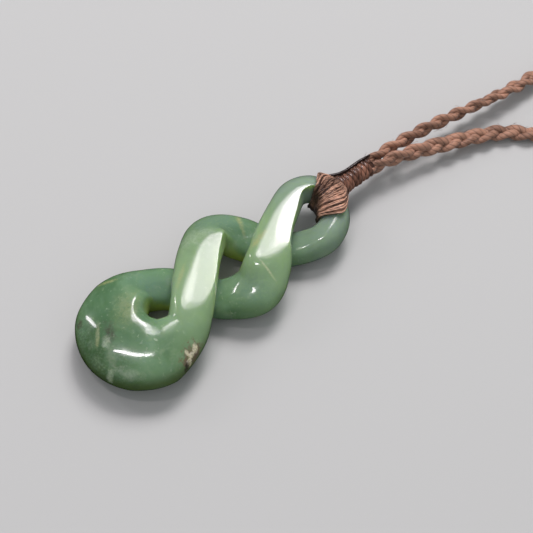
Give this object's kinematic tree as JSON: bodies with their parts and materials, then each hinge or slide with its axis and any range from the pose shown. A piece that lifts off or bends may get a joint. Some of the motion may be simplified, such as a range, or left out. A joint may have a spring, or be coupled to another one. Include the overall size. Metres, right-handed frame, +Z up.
{
  "type": "jade twist pendant",
  "caption": "Flat-lying jade pendant carved as one closed strand with two crossings, bound through its top eye to a whipped neck and a plaited necklace cord.",
  "frame": {"origin": "middle of the footprint of stone and cord together, on the surface that they lie on", "axes": "+Y along the stone's long axis toward the cord, +Z up from the surface, +X to the right seen from above with the cord end up"},
  "size_m": [0.1244, 0.3326, 0.0091],
  "materials": {
    "jade": "polished",
    "waxed_thread": "satin",
    "whipping_cord": "satin",
    "plaited_cord": "matte"
  },
  "bodies": {
    "root": {"jade_twist": "jade", "eye_binding": "waxed_thread", "neck_whipping": "whipping_cord", "plaited_cord": "plaited_cord"}
  },
  "joints": []
}
